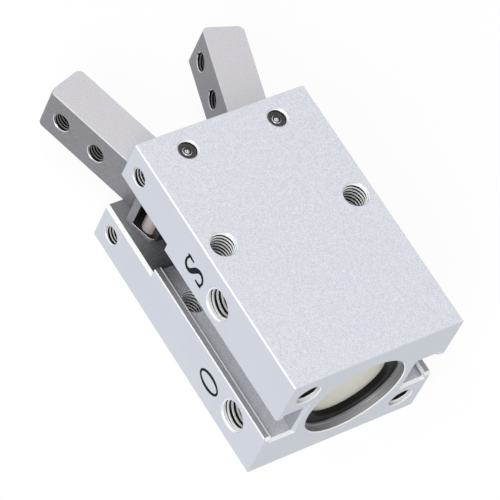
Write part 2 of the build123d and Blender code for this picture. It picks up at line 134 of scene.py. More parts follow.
# %% The grain group: a fine speckle, and larger soft patches
def make_grain_group():
    group, source, sink = new_group(
        "fine_grain", {"Grain Size": 0.25 * MM, "Patchiness": 0.3}, ["Speckle", "Patches"])
    links = group.links
    place = group.nodes.new("ShaderNodeTexCoord").outputs["Object"]
    frequency = math_node(group, "DIVIDE", 1.0, source.outputs["Grain Size"])
    grains = group.nodes.new("ShaderNodeTexNoise")
    grains.inputs["Detail"].default_value = 3.0
    grains.inputs["Roughness"].default_value = 0.65
    links.new(place, grains.inputs["Vector"])
    links.new(frequency, grains.inputs["Scale"])
    patches = group.nodes.new("ShaderNodeTexNoise")
    patches.inputs["Scale"].default_value = 90.0
    patches.inputs["Detail"].default_value = 4.0
    links.new(place, patches.inputs["Vector"])
    sharpened = group.nodes.new("ShaderNodeMapRange")
    sharpened.inputs["From Min"].default_value = 0.38
    sharpened.inputs["From Max"].default_value = 0.62
    links.new(grains.outputs[0], sharpened.inputs["Value"])
    links.new(sharpened.outputs[0], sink.inputs["Speckle"])
    swing = math_node(group, "SUBTRACT", patches.outputs[0], 0.5)
    scaled = math_node(group, "MULTIPLY", swing, source.outputs["Patchiness"])
    links.new(math_node(group, "ADD", scaled, 0.5), sink.inputs["Patches"])
    return group


grain_group = make_grain_group()


# %% The line group: fine tool lines along one axis, or rings round it
def make_line_group():
    group, source, sink = new_group(
        "tool_lines", {"Line Pitch": 0.12 * MM, "Along X": 1.0, "Along Y": 0.02, "Along Z": 1.0},
        ["Lines"])
    links = group.links
    split = group.nodes.new("ShaderNodeSeparateXYZ")
    links.new(group.nodes.new("ShaderNodeTexCoord").outputs["Object"], split.inputs[0])
    frequency = math_node(group, "DIVIDE", 1.0, source.outputs["Line Pitch"])
    stretched = group.nodes.new("ShaderNodeCombineXYZ")
    for axis in "XYZ":
        share = math_node(group, "MULTIPLY", source.outputs[f"Along {axis}"], frequency)
        links.new(math_node(group, "MULTIPLY", split.outputs[axis], share), stretched.inputs[axis])
    noise = group.nodes.new("ShaderNodeTexNoise")
    noise.inputs["Scale"].default_value = 1.0
    noise.inputs["Detail"].default_value = 3.0
    links.new(stretched.outputs[0], noise.inputs["Vector"])
    links.new(noise.outputs[0], sink.inputs["Lines"])
    return group


line_group = make_line_group()


# %% The shade group: painted shade, grains that grow darker from one place to another along Y
def make_shade_group(speckle_share=0.2):
    group, source, sink = new_group(
        "grain_in_shade", {"Dark Y": 30 * MM, "Light Y": 24 * MM, "Grain Size": 0.25 * MM}, ["Shade"])
    links = group.links
    split = group.nodes.new("ShaderNodeSeparateXYZ")
    links.new(group.nodes.new("ShaderNodeTexCoord").outputs["Object"], split.inputs[0])
    along = group.nodes.new("ShaderNodeMapRange")
    links.new(split.outputs["Y"], along.inputs["Value"])
    links.new(source.outputs["Dark Y"], along.inputs["From Min"])
    links.new(source.outputs["Light Y"], along.inputs["From Max"])
    grains = add_group(group, grain_group)
    links.new(source.outputs["Grain Size"], grains.inputs["Grain Size"])
    speckle = math_node(group, "MULTIPLY", grains.outputs["Speckle"], speckle_share)
    slope = math_node(group, "MULTIPLY", along.outputs[0], 1 - speckle_share)
    links.new(math_node(group, "ADD", slope, speckle), sink.inputs["Shade"])
    return group


shade_group = make_shade_group()
print("shader groups:", [g.name for g in bpy.data.node_groups])

# %% [markdown]
# ## Finishes
# Each finish is one short call. A colour is given as it looks under plain light, once for the deep
# grains and once for the bright ones, and one of the shared groups mixes the two. The same mask
# drives the roughness and, where it is asked for, a shallow bump.


# %% Helpers for materials
def shown(red, green, blue):
    """A colour read as screen values from 0 to 255, as the linear colour that a shader wants."""
    def linear(value):
        value /= 255
        return value / 12.92 if value <= 0.04045 else ((value + 0.055) / 1.055) ** 2.4
    return (linear(red), linear(green), linear(blue), 1.0)


def remap(tree, source, low, high):
    """A value from 0 to 1 carried over to low..high."""
    node = tree.nodes.new("ShaderNodeMapRange")
    node.inputs["To Min"].default_value = low
    node.inputs["To Max"].default_value = high
    tree.links.new(source, node.inputs["Value"])
    return node.outputs[0]


def finish(name, deep, bright, mask_group, mask_output, metallic, roughness, bump=0.0, specular=0.5,
           **values):
    """A material that runs from deep to bright colour and over a roughness range with one mask."""
    material = bpy.data.materials.new(name)
    material.use_nodes = True
    tree = material.node_tree
    shader = tree.nodes["Principled BSDF"]
    mask = add_group(tree, mask_group, **values).outputs[mask_output]
    colour = tree.nodes.new("ShaderNodeMix")
    colour.data_type = "RGBA"
    for socket in colour.inputs:
        if socket.name == "A" and socket.type == "RGBA":
            socket.default_value = deep
        if socket.name == "B" and socket.type == "RGBA":
            socket.default_value = bright
    tree.links.new(mask, colour.inputs["Factor"])
    result = next(socket for socket in colour.outputs if socket.type == "RGBA")
    tree.links.new(result, shader.inputs["Base Color"])
    tree.links.new(remap(tree, mask, *roughness), shader.inputs["Roughness"])
    shader.inputs["Metallic"].default_value = metallic
    shader.inputs["Specular IOR Level"].default_value = specular
    if bump:
        relief = tree.nodes.new("ShaderNodeBump")
        relief.inputs["Strength"].default_value = bump
        relief.inputs["Distance"].default_value = 0.02 * MM
        tree.links.new(mask, relief.inputs["Height"])
        tree.links.new(relief.outputs[0], shader.inputs["Normal"])
    return material


# %% The finishes of the aluminium body
blasted = finish("blasted_aluminium", shown(208, 212, 221), shown(237, 239, 246), grain_group,
                 "Speckle", metallic=0.3, roughness=(0.45, 0.62), bump=0.25, Grain_Size=0.17 * MM)
satin = finish("satin_aluminium", shown(208, 213, 222), shown(216, 221, 230), grain_group,
               "Patches", metallic=0.3, roughness=(0.38, 0.46), Grain_Size=0.4 * MM, Patchiness=1.2)
# Bare cut metal painted near white: a painted highlight on bevels, hole mouths and edge lines
painted_highlight = finish("cut_metal_painted_highlight", shown(250, 251, 253), shown(255, 255, 255), line_group,
                  "Lines", metallic=0.1, roughness=(0.2, 0.3))
# The slot finishes are painted shade: darker than the outer faces, and darker still towards the cavity
shaded_slot_wall = finish("slot_core_wall_painted_shade", shown(48, 51, 54), shown(186, 190, 196), shade_group,
                   "Shade", metallic=0.3, roughness=(0.4, 0.5),
                   Dark_Y=33 * MM, Light_Y=23 * MM, Grain_Size=0.3 * MM)
shaded_slot_mill = finish("slot_undercut_painted_shade", shown(60, 62, 65), shown(218, 221, 226), shade_group,
                   "Shade", metallic=0.1, roughness=(0.35, 0.5),
                   Dark_Y=33 * MM, Light_Y=24 * MM, Grain_Size=0.3 * MM)
shaded_lip_mill = finish("slot_lip_painted_shade", shown(70, 73, 77), shown(170, 173, 177), shade_group,
                       "Shade", metallic=0.3, roughness=(0.35, 0.5),
                       Dark_Y=34 * MM, Light_Y=26 * MM, Grain_Size=0.25 * MM)
# The cavity's finish is painted shade, darkest towards the cavity's floor
shaded_cavity = finish("cavity_painted_shade", shown(34, 36, 38), shown(142, 144, 148), shade_group,
                     "Shade", metallic=0.2, roughness=(0.5, 0.65),
                     Dark_Y=30 * MM, Light_Y=41 * MM, Grain_Size=0.2 * MM)
bore_turned = finish("turned_bore", shown(136, 136, 138), shown(192, 192, 195), line_group,
                     "Lines", metallic=0.5, roughness=(0.3, 0.45),
                     Along_X=0.05, Along_Y=1.0, Along_Z=0.05)
# Near black: painted shade on the hole walls between the crests
painted_hole_shade = finish("painted_hole_shade", shown(14, 14, 15), shown(32, 32, 34), line_group,
                     "Lines", metallic=0.1, roughness=(0.4, 0.6), specular=0.2)
# Near white: a painted highlight on the body's thread crests and the pins' rings
painted_crest_highlight = finish("painted_crest_highlight", shown(244, 245, 247), shown(255, 255, 255), line_group,
                      "Lines", metallic=0.15, roughness=(0.18, 0.3))

# %% The finishes of the steel, resin and rubber pieces
ground_steel = finish("ground_steel", shown(206, 204, 209), shown(220, 218, 223), grain_group,
                      "Speckle", metallic=0.35, roughness=(0.4, 0.5), bump=0.1, Grain_Size=0.25 * MM)
# The milled sides painted darker: painted shade on the sides that face away from the light
shaded_steel_side = finish("steel_side_painted_shade", shown(128, 127, 133), shown(146, 145, 151), grain_group,
                    "Speckle", metallic=0.45, roughness=(0.38, 0.5), bump=0.12, Grain_Size=0.3 * MM)
# The bevels and hole rims painted pale: a painted highlight
finger_edge_highlight = finish("ground_bevel_painted_highlight", shown(196, 195, 200), shown(226, 225, 230), line_group,
                     "Lines", metallic=0.4, roughness=(0.25, 0.35))
# Dark steel for the crosshead and pins, also painted shade in the fingers' fork
dark_steel_and_shade = finish("dark_steel_and_shade", shown(46, 44, 43), shown(84, 81, 80), line_group,
                    "Lines", metallic=0.7, roughness=(0.3, 0.45))
# The roller's even pinkish grey is a painted reflection of its surroundings
roller_reflection = finish("roller_painted_reflection", shown(168, 158, 156), shown(200, 189, 185), line_group,
                      "Lines", metallic=0.2, roughness=(0.3, 0.42))
# Mid grey: the fingers' thread crests in painted shade
shaded_finger_crest = finish("finger_threads_painted_shade", shown(112, 110, 113), shown(180, 178, 181), line_group,
                      "Lines", metallic=0.3, roughness=(0.2, 0.32))
black_ring = finish("phosphated_ring", shown(10, 10, 10), shown(26, 26, 25), grain_group,
                    "Speckle", metallic=0.0, roughness=(0.45, 0.6),
                    bump=0.2, specular=0.15, Grain_Size=0.15 * MM)
cream_resin = finish("cream_resin", shown(240, 238, 224), shown(246, 244, 231), grain_group,
                     "Patches", metallic=0.0, roughness=(0.38, 0.46),
                     Grain_Size=0.5 * MM, Patchiness=1.0)
rubber = finish("nitrile_rubber", shown(20, 20, 20), shown(34, 34, 34), grain_group,
                "Speckle", metallic=0.0, roughness=(0.6, 0.75), specular=0.2, Grain_Size=0.2 * MM)
bumper_resin = finish("urethane_bumper", shown(112, 84, 52), shown(130, 100, 64), grain_group,
                      "Patches", metallic=0.0, roughness=(0.45, 0.55))
bronze = finish("sintered_bronze", shown(168, 132, 78), shown(196, 160, 100), grain_group,
                "Speckle", metallic=0.8, roughness=(0.35, 0.5), Grain_Size=0.2 * MM)
chrome = finish("chromed_rod", shown(196, 196, 198), shown(222, 222, 224), line_group,
                "Lines", metallic=0.95, roughness=(0.08, 0.16), Along_X=0.05, Along_Y=1.0, Along_Z=0.05)
black_oxide = finish("black_oxide", shown(24, 24, 26), shown(52, 51, 53), line_group,
                     "Lines", metallic=0.3, roughness=(0.28, 0.42), specular=0.3)
port_mark = finish("port_mark", shown(8, 9, 12), shown(26, 28, 33), grain_group,
                   "Speckle", metallic=0.0, roughness=(0.65, 0.8), specular=0.15, Grain_Size=0.35 * MM)
print("materials, with the frame's own:", len(bpy.data.materials))

# %% [markdown]
# ## Dressing a CAD node
# A CAD node arrives as loose triangles and may not be changed. A copy of it loses its stored
# normals, is welded and is shaded smooth except at real edges. Each of its faces gets a finish by
# a rule that looks at the face's middle and its normal. The copy then stands for the node, in the
# same place.


# %% Helpers for pieces
def body_of_node(node):
    groups = frame["record"]["behaviour"]["bodies"]
    return next(body for body, members in groups.items() if node in members)


def slot_of_node(node):
    parts = frame["record"]["subparts"]
    return next(part["material_slot"] for part in parts if part["node"] == node)


def mount_piece(piece, body, slot, *replaced):
    """Every finished piece rides on a body and may stand for CAD nodes; slot is not used."""
    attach(piece, body)
    if replaced:
        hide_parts(*replaced)
    return piece


def new_piece(name, mesh):
    piece = bpy.data.objects.new(name, mesh)
    bpy.context.scene.collection.objects.link(piece)
    return piece


# %% Weld, shade and paint a copy of a node
sharp_angle = radians(30)


def dress(node, rule, cuts=()):
    """A welded copy of a node; rule(middle in mm, normal) gives the finish of each face.

    cuts lists (axis, place in mm): its faces are divided there, so that each side can differ.
    """
    mesh = nodes[node].data.copy()
    for name in ("custom_normal", "sharp_edge", "sharp_face"):
        if name in mesh.attributes:
            mesh.attributes.remove(mesh.attributes[name])
    work = bmesh.new()
    work.from_mesh(mesh)
    bmesh.ops.remove_doubles(work, verts=work.verts, dist=0.001 * MM)
    bmesh.ops.dissolve_degenerate(work, edges=work.edges, dist=0.0005 * MM)
    for axis, place in cuts:
        normal = Vector([float(axis == name) for name in "xyz"])
        bmesh.ops.bisect_plane(work, geom=[*work.verts, *work.edges, *work.faces],
                               plane_co=normal * place * MM, plane_no=normal)
    chosen = [rule(face.calc_center_median() / MM, face.normal) for face in work.faces]
    finishes = list(dict.fromkeys(chosen))
    mesh.materials.clear()
    for material in finishes:
        mesh.materials.append(material)
    for face, material in zip(work.faces, chosen):
        face.smooth = True
        face.material_index = finishes.index(material)
    work.to_mesh(mesh)
    work.free()
    mesh.set_sharp_from_angle(angle=sharp_angle)
    print(node, "has", len(mesh.polygons), "faces in", [material.name for material in finishes])
    return mount_piece(new_piece(f"{node}_dressed", mesh), body_of_node(node), slot_of_node(node), node)


# %% [markdown]
# ## The aluminium body
# The block is sawn from a drawn bar. Its two large faces are bead blasted and anodised, and its other
# faces are milled smooth. The cuts along its edges are bare metal, painted near white as a painted
# highlight, and so is the wall of a hole in front of its first thread turn. The rules below tell
# these places apart by where a face lies and which way it looks. They take x and z without their
# sign, because both halves look the same.

# %% How far the body's finishes reach, in mm
# A face lies in a plane if its middle is within skin of it
skin = 0.02
# Painted highlight lines along outer edges, and bevels and lips with their surroundings
edge, rim = 0.15, 0.45
# The wall painted as a highlight before the first turn: in the ports and the rear, the plates, the small side
# holes
lead_in, plate_lead, small_lead = 0.7, 0.35, 0.22
# A lip's painted highlight line, and how deep the plate holes' drill grazes the slot's floor
lip_line, graze = 0.44, 0.2
lip_start = half_width - slot_lip
bore_reach, bore_end = bore_radius + 0.5, cavity_floor - 1


# %% Rules for the body's faces
def is_slanted(normal):
    return max(abs(part) for part in normal) < 0.9


def slot_finish(x, z, normal):
    """The floor of a switch slot, its undercut and its lip, in painted shade, with the lip's painted highlight
    line.
    """
    if x < slot_floor + skin:
        return shaded_slot_wall
    if x > lip_start - skin and abs(normal.x) > 0.9:
        return shaded_lip_mill
    if x > lip_start - skin and z < slot_mouth_half + skin:
        return painted_highlight if x < lip_start + lip_line else shaded_lip_mill
    return shaded_slot_mill


def body_finish(middle, normal):
    x, y, z = abs(middle.x), middle.y, abs(middle.z)
    if z > half_thickness - skin:
        return blasted
    if x > half_width - skin or y < skin or y > body_length - skin:
        return satin
    # The bore's mouth takes the painted highlight
    if hypot(x, z) < bore_reach and y < bore_end:
        return painted_highlight if y < edge else bore_turned
    if is_slanted(normal):
        on_end_edge = x > half_width - edge or z > half_thickness - edge
        if abs(normal.y) > 0.5 and on_end_edge:
            return satin
        if abs(normal.x) > 0.5 and y < rim and z < slot_undercut_half and x > slot_floor - rim:
            return satin
        on_side = x > half_width - rim or z > half_thickness - rim
        on_lip = abs(x - lip_start) < rim and z < slot_undercut_half - skin
        if on_side or on_lip or y < rim or y > body_length - rim:
            return painted_highlight
    # The cavity's walls take painted shade
    if y > cavity_floor - skin and z < cavity_half + skin:
        return shaded_cavity
    if x > slot_floor - graze and z < slot_undercut_half + skin:
        return slot_finish(x, z, normal)
    # A hole's wall takes the painted highlight before its first turn and painted shade deeper in
    side_lead = lead_in if y < cavity_floor else small_lead
    on_lead = x > half_width - side_lead or z > half_thickness - plate_lead or y < lead_in
    return painted_highlight if on_lead else painted_hole_shade


# %% Dress the body
side_end, plate_end = half_width - lead_in, half_thickness - plate_lead
lip_end, slot_end = lip_start + lip_line, slot_undercut_half + 0.01
dress("gripper_body", body_finish, cuts=[
    ("x", -side_end), ("x", small_lead - half_width), ("x", -lip_end), ("x", lip_end),
    ("z", plate_end), ("z", -plate_end), ("z", slot_end), ("z", -slot_end), ("y", lead_in)])

# %% [markdown]
# ## The fingers and what drives them
# Each finger is one hardened steel lever. Its two broad faces are ground pale. Its narrow sides are
# milled, and painted darker as painted shade, and a thin painted highlight runs along each edge. The
# same rule works for both fingers in the finger's own directions: u towards the other finger and v
# to the tip.


# %% A finger's own directions
def finger_place(side, middle):
    """A point in mm, in the finger's own directions u and v from its pivot."""
    sign = {"left": -1, "right": 1}[side]
    pivot = Vector(joints[f"finger_{side}_swing"]["pos_m"]) / MM
    across, along = middle.x - pivot.x, middle.y - pivot.y
    u = -sign * across * cos(open_angle) + along * sin(open_angle)
    v = sign * across * sin(open_angle) + along * cos(open_angle)
    return u, v


# %% Rule for the fingers' faces
# Distances of the sides and the holes from the pivot's axis and middle, in mm
finger_outer, finger_inner, finger_half, fork_half = 3.2, 3.65, 4.0, 3.0
hole_places, hole_reach, hole_rim = (18.7, 11.7), 1.65, 0.15
# The painted highlight lines along the edges of the arm and the fork, and the arm's bevel
edge_line, fork_line, bevel = 0.14, 0.12, 0.16
# How far the fork reaches along the finger and in from its side, and the reach of the pivot's bore
root_end, root_side, pivot_reach = 0.7, 2.0, 1.6


def finger_finish(side):
    def rule(middle, normal):
        u, v = finger_place(side, middle)
        z = abs(middle.z)
        # Inside a hole: painted shade, and a painted highlight on the rim bevels
        if min(hypot(v - hole, z) for hole in hole_places) < hole_reach:
            across = abs(normal.x * cos(open_angle)) + abs(normal.y * sin(open_angle))
            on_rim = u < hole_rim - finger_outer or u > finger_inner - hole_rim
            is_bevel = hypot(normal.x, normal.y) > 0.1 and across < 0.98
            return finger_edge_highlight if on_rim and is_bevel else painted_hole_shade
        if z > finger_half - 0.01:
            return ground_steel
        if z > finger_half - bevel and is_slanted(normal):
            return finger_edge_highlight
        # A painted highlight line along the fork's edges
        on_root_edge = z > finger_half - edge_line or fork_half < z < fork_half + fork_line
        if u < -finger_outer - 0.1 and on_root_edge and abs(normal.z) < 0.5:
            return painted_highlight
        # The fork's inner faces and the pivot's bore are painted dark: painted shade in the pocket
        in_fork = u < -root_side and v < root_end and z < fork_half + 0.05
        return dark_steel_and_shade if in_fork or hypot(u, v) < pivot_reach else shaded_steel_side
    return rule


# %% Dress both fingers
for side in ("left", "right"):
    dress(f"finger_{side}", finger_finish(side), cuts=[
        ("z", sign * place) for sign in (-1, 1)
        for place in (fork_half + fork_line, finger_half - edge_line)])

# %% Dress the crosshead, the rollers and the inner pieces
plain_pieces = {
    "crosshead": dark_steel_and_shade, "piston_rod": chrome, "cross_pin": dark_steel_and_shade,
    "side_roller_left": roller_reflection, "side_roller_right": roller_reflection,
    "roller_pin_left": dark_steel_and_shade, "roller_pin_right": dark_steel_and_shade,
    "rear_cap": cream_resin, "snap_ring": black_ring, "cap_seal": rubber,
    "rear_bumper": bumper_resin, "front_bumper": bumper_resin, "rod_seal": rubber,
    "seal_stopper": satin, "rod_bush": bronze, "piston": satin, "piston_seal": rubber,
    "magnet_ring": dark_steel_and_shade, "wear_ring": cream_resin,
}
for node, material in plain_pieces.items():
    dress(node, lambda middle, normal, material=material: material)

# %% [markdown]
# ## Pivot pins
# The pins are turned, so their ends carry fine rings round a centre mark. The rings and the mark are
# painted near white as painted highlights, between dark oxide bands. A profile spun round the axis
# makes them. Each of its points is a radius and a depth below the pin's end face, with the finish
# of the band that follows.


# %% A turned piece from its profile
def lathe(name, profile, centre, steps=48):
    """A closed mesh spun round a line along Z through centre; profile runs from pole to pole."""
    work = bmesh.new()
    rings = []
    for radius, height, _ in profile:
        if radius == 0:
            rings.append([work.verts.new((centre.x, centre.y, height))])
            continue
        turns = [2 * pi * step / steps for step in range(steps)]
        around = [(centre.x + radius * cos(turn), centre.y + radius * sin(turn)) for turn in turns]
        rings.append([work.verts.new((x, y, height)) for x, y in around])
    finishes = list(dict.fromkeys(material for *_, material in profile))
    for (lower, upper), (*_, material) in zip(zip(rings, rings[1:]), profile):
        for step in range(steps):
            corners = [ring[(step + shift) % len(ring)] for ring, shift in
                       ((lower, 0), (lower, 1), (upper, 1), (upper, 0))]
            face = work.faces.new(list(dict.fromkeys(corners)))
            face.smooth = True
            face.material_index = finishes.index(material)
    bmesh.ops.recalc_face_normals(work, faces=work.faces)
    mesh = bpy.data.meshes.new(name)
    work.to_mesh(mesh)
    work.free()
    for material in finishes:
        mesh.materials.append(material)
    mesh.set_sharp_from_angle(angle=sharp_angle)
    return mesh


# %% Turn both pivot pins
# Radius, depth below the end face, finish of the band that follows
pin_end = [
    (0.0, 0.1, painted_highlight), (0.16, 0.0, painted_highlight), (0.26, 0.0, black_oxide), (0.36, 0.08, painted_crest_highlight),
    (0.46, 0.0, black_oxide), (0.66, 0.0, black_oxide), (0.74, 0.08, painted_crest_highlight),
    (0.86, 0.0, black_oxide), (1.26, 0.0, dark_steel_and_shade), (1.5, 0.2, shaded_steel_side),
]
for side in ("left", "right"):
    low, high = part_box(f"pivot_pin_{side}")
    centre = (low + high) / 2
    top = [(radius * MM, high.z - depth * MM, material) for radius, depth, material in pin_end]
    bottom = [(radius * MM, low.z + depth * MM, material) for radius, depth, material in pin_end]
    mesh = lathe(f"pivot_pin_{side}_turned", bottom + top[::-1], centre)
    mount_piece(new_piece(f"pivot_pin_{side}_turned", mesh), "body", slot_of_node(f"pivot_pin_{side}"),
                f"pivot_pin_{side}")
    print("pin", side, "has", len(mesh.polygons), "faces")

# %% [markdown]
# ## Thread turns
# The CAD holes are plain bores of the thread's nominal radius. The real holes are tapped, and the
# eye reads them by their bright crests over dark roots. Here the crests are painted near white as a
# painted highlight, and the walls between them near black as painted shade. One Geometry Nodes tree
# makes a turn of crest: a spiral with a tapered section swept along it, faded in and out at its
# ends. It is set on every hole at once, because the holes of one size differ only in place and
# direction.


# %% A Geometry Nodes tree with named inputs
def geometry_tree(name, inputs, material_inputs=()):
    """An empty Geometry Nodes tree with a geometry input, named sizes and named materials."""
    tree = bpy.data.node_groups.new(name, "GeometryNodeTree")
    tree.interface.new_socket("Geometry", in_out="INPUT", socket_type="NodeSocketGeometry")
    for label in inputs:
        tree.interface.new_socket(label, in_out="INPUT", socket_type="NodeSocketFloat")
    for label in material_inputs:
        tree.interface.new_socket(label, in_out="INPUT", socket_type="NodeSocketMaterial")
    tree.interface.new_socket("Geometry", in_out="OUTPUT", socket_type="NodeSocketGeometry")
    return tree, tree.nodes.new("NodeGroupInput"), tree.nodes.new("NodeGroupOutput")


# %% The thread tree
def make_thread_tree():
    tree, source, sink = geometry_tree(
        "thread_turns", ("Nominal Radius", "Pitch", "Length", "Crest Depth", "Crest Width",
                         "Root Width", "Embed", "Fade Turns"), ("Finish",))
    given = source.outputs
    link = tree.links.new
    turns = math_node(tree, "DIVIDE", given["Length"], given["Pitch"])

    # The path: a right handed spiral along Z
    spiral = tree.nodes.new("GeometryNodeCurveSpiral")
    spiral.inputs["Reverse"].default_value = True
    spiral.inputs["Resolution"].default_value = 32
    for label, value in (("Rotations", turns), ("Start Radius", given["Nominal Radius"]),
                         ("End Radius", given["Nominal Radius"]), ("Height", given["Length"])):
        link(value, spiral.inputs[label])
    upright = tree.nodes.new("GeometryNodeSetCurveNormal")
    upright.mode = "Z_UP"
    link(spiral.outputs[0], upright.inputs["Curve"])

    # The section: a ridge that is sunk a little into the wall and narrows towards the hole
    section = tree.nodes.new("GeometryNodeCurvePrimitiveQuadrilateral")
    section.mode = "POINTS"
    inward = math_node(tree, "MULTIPLY", given["Crest Depth"], -1.0)
    corners = ((given["Embed"], given["Root Width"], -0.5), (given["Embed"], given["Root Width"], 0.5),
               (inward, given["Crest Width"], 0.5), (inward, given["Crest Width"], -0.5))
    for number, (across, width, share) in enumerate(corners, 1):
        point = tree.nodes.new("ShaderNodeCombineXYZ")
        link(across, point.inputs["X"])
        link(math_node(tree, "MULTIPLY", width, share), point.inputs["Y"])
        link(point.outputs[0], section.inputs[f"Point {number}"])

    # The sweep, thinned out over the first and last part of a turn
    way = tree.nodes.new("GeometryNodeSplineParameter").outputs["Factor"]
    to_end = math_node(tree, "MINIMUM", way, math_node(tree, "SUBTRACT", 1.0, way))
    fade = tree.nodes.new("ShaderNodeMapRange")
    fade.inputs["To Min"].default_value = 0.05
    link(to_end, fade.inputs["Value"])
    link(math_node(tree, "DIVIDE", given["Fade Turns"], turns), fade.inputs["From Max"])
    sweep = tree.nodes.new("GeometryNodeCurveToMesh")
    sweep.inputs["Fill Caps"].default_value = True
    link(upright.outputs[0], sweep.inputs["Curve"])
    link(section.outputs[0], sweep.inputs["Profile Curve"])
    link(fade.outputs[0], sweep.inputs["Scale"])

    # One sweep on each hole, turned along the hole's stored axis
    axis = tree.nodes.new("GeometryNodeInputNamedAttribute")
    axis.data_type = "FLOAT_VECTOR"
    axis.inputs["Name"].default_value = "axis"
    turn = tree.nodes.new("FunctionNodeAlignRotationToVector")
    turn.axis = "Z"
    link(axis.outputs["Attribute"], turn.inputs["Vector"])
    spread = tree.nodes.new("GeometryNodeInstanceOnPoints")
    link(given["Geometry"], spread.inputs["Points"])
    link(sweep.outputs[0], spread.inputs["Instance"])
    link(turn.outputs[0], spread.inputs["Rotation"])
    real = tree.nodes.new("GeometryNodeRealizeInstances")
    link(spread.outputs[0], real.inputs[0])
    paint = tree.nodes.new("GeometryNodeSetMaterial")
    link(real.outputs[0], paint.inputs["Geometry"])
    link(given["Finish"], paint.inputs["Material"])
    link(paint.outputs[0], sink.inputs[0])
    return tree


thread_tree = make_thread_tree()


# %% Cut the threads of one size on one body
embed, fade_turns, crest_sharp_angle = 0.03 * MM, 0.3, radians(40)


def cut_threads(name, body, slot, holes, thread, length, crest, shape):
    """Thread turns on every hole, given as (start, axis); thread is its radius and pitch in mm.

    shape is the ridge's depth and the widths of its top and foot, as shares of the pitch.
    """
    radius, pitch = thread
    depth, top, foot = (share * pitch * MM for share in shape)
    points = bpy.data.meshes.new(name)
    points.from_pydata([Vector(start) * MM for start, _ in holes], [], [])
    axes = points.attributes.new("axis", "FLOAT_VECTOR", "POINT")
    for entry, (_, axis) in zip(axes.data, holes):
        entry.vector = axis
    maker = new_piece(name, points)
    modifier = maker.modifiers.new("turns", "NODES")
    modifier.node_group = thread_tree
    sizes = {"Nominal Radius": radius * MM, "Pitch": pitch * MM, "Length": length * MM,
             "Crest Depth": depth, "Crest Width": top, "Root Width": foot,
             "Embed": embed, "Fade Turns": fade_turns, "Finish": crest}
    for entry in thread_tree.interface.items_tree:
        if entry.in_out == "INPUT" and entry.name in sizes:
            modifier[entry.identifier] = sizes[entry.name]
    ready = maker.evaluated_get(bpy.context.evaluated_depsgraph_get())
    mesh = bpy.data.meshes.new_from_object(ready)
    bpy.data.objects.remove(maker)
    mesh.set_sharp_from_angle(angle=crest_sharp_angle)
    mount_piece(new_piece(name, mesh), body, slot)
    print(name, "on", len(holes), "holes:", len(mesh.polygons), "faces")


# %% The threads in the plates and the rear
# Nominal radius and pitch in mm
m3, m4, m5 = (1.5, 0.5), (2.0, 0.7), (2.5, 0.8)

plate_mount = mounts["front_plate_threads"]
plate_x, plate_y = plate_mount["dims"]["spacing_x_mm"] / 2, plate_mount["pos_m"][1] / MM
plate_starts = slot_undercut_half + 0.1, 0.2 - half_thickness
cut_threads("plate_threads", "body", "body_aluminium",
            [((x, plate_y, z), (0, 0, 1)) for x in (-plate_x, plate_x) for z in plate_starts],
            m4, length=half_thickness - slot_undercut_half - 0.3, crest=painted_crest_highlight,
            shape=(0.22, 0.16, 0.36))
rear_x, rear_start, rear_z = 11.4, 0.6, 7.6
cut_threads("rear_threads", "body", "body_aluminium",
            [((sign * rear_x, rear_start, -sign * rear_z), (0, 1, 0)) for sign in (-1, 1)],
            m4, length=7.2, crest=painted_crest_highlight, shape=(0.25, 0.12, 0.3))

# %% The threads in the port side
side_mount = mounts["side_threads"]
side_y, side_gap = side_mount["pos_m"][1] / MM, side_mount["dims"]["spacing_y_mm"] / 2
side_start, port_start = 0.25 - half_width, 0.15 - half_width
cut_threads("side_threads", "body", "body_aluminium",
            [((side_start, side_y, z), (1, 0, 0)) for z in (-side_gap, side_gap)],
            m3, length=2.7, crest=painted_crest_highlight, shape=(0.22, 0.18, 0.36))
port_places = [mounts[name]["pos_m"] for name in ("shut_port", "open_port")]
cut_threads("port_threads", "body", "body_aluminium",
            [((port_start, y / MM, z / MM), (1, 0, 0)) for _, y, z in port_places],
            m5, length=5.3, crest=painted_crest_highlight, shape=(0.22, 0.28, 0.42))

# %% The threads in the fingers
for side in ("left", "right"):
    holes = []
    for place in ("tip", "root"):
        mount = mounts[f"finger_{side}_{place}_thread"]
        inward = -Vector(mount["axis"])
        middle = Vector(mount["pos_m"]) / MM
        through = mount["dims"]["length_mm"] - 0.1
        holes.append((middle - inward * through / 2, inward))
    cut_threads(f"finger_{side}_threads", f"finger_{side}", "finger_steel", holes,
                m3, length=through, crest=shaded_finger_crest, shape=(0.3, 0.12, 0.3))

# %% [markdown]
# ## Port marks
# Each air port has one plain letter beside it: S for the port that shuts the fingers and O for the
# one that opens them. On the real part they are etched. Here a broad nib drawn along a curve gives
# the outline, thick where the stroke runs up the letter and thin where it runs across it, and the
# shape stands a hundredth of a millimetre proud of the face.


# %% A smooth path through points
def smooth_path(points, closed, pieces=8):
    """A Catmull-Rom curve through the points, whose last number is the stroke's width."""
    points = [Vector(point) for point in points]
    ends = (points[-1:], points[:2]) if closed else (points[:1], points[-1:])
    padded = [*ends[0], *points, *ends[1]]
    path = []
    for before, start, end, after in zip(padded, padded[1:], padded[2:], padded[3:]):
        for piece in range(pieces):
            t = piece / pieces
            bend = 2 * before - 5 * start + 4 * end - after
            twist = 3 * start - before - 3 * end + after
            path.append(((2 * start) + (end - before) * t + bend * t**2 + twist * t**3) / 2)
    if not closed:
        path.append(points[-1])
    return path


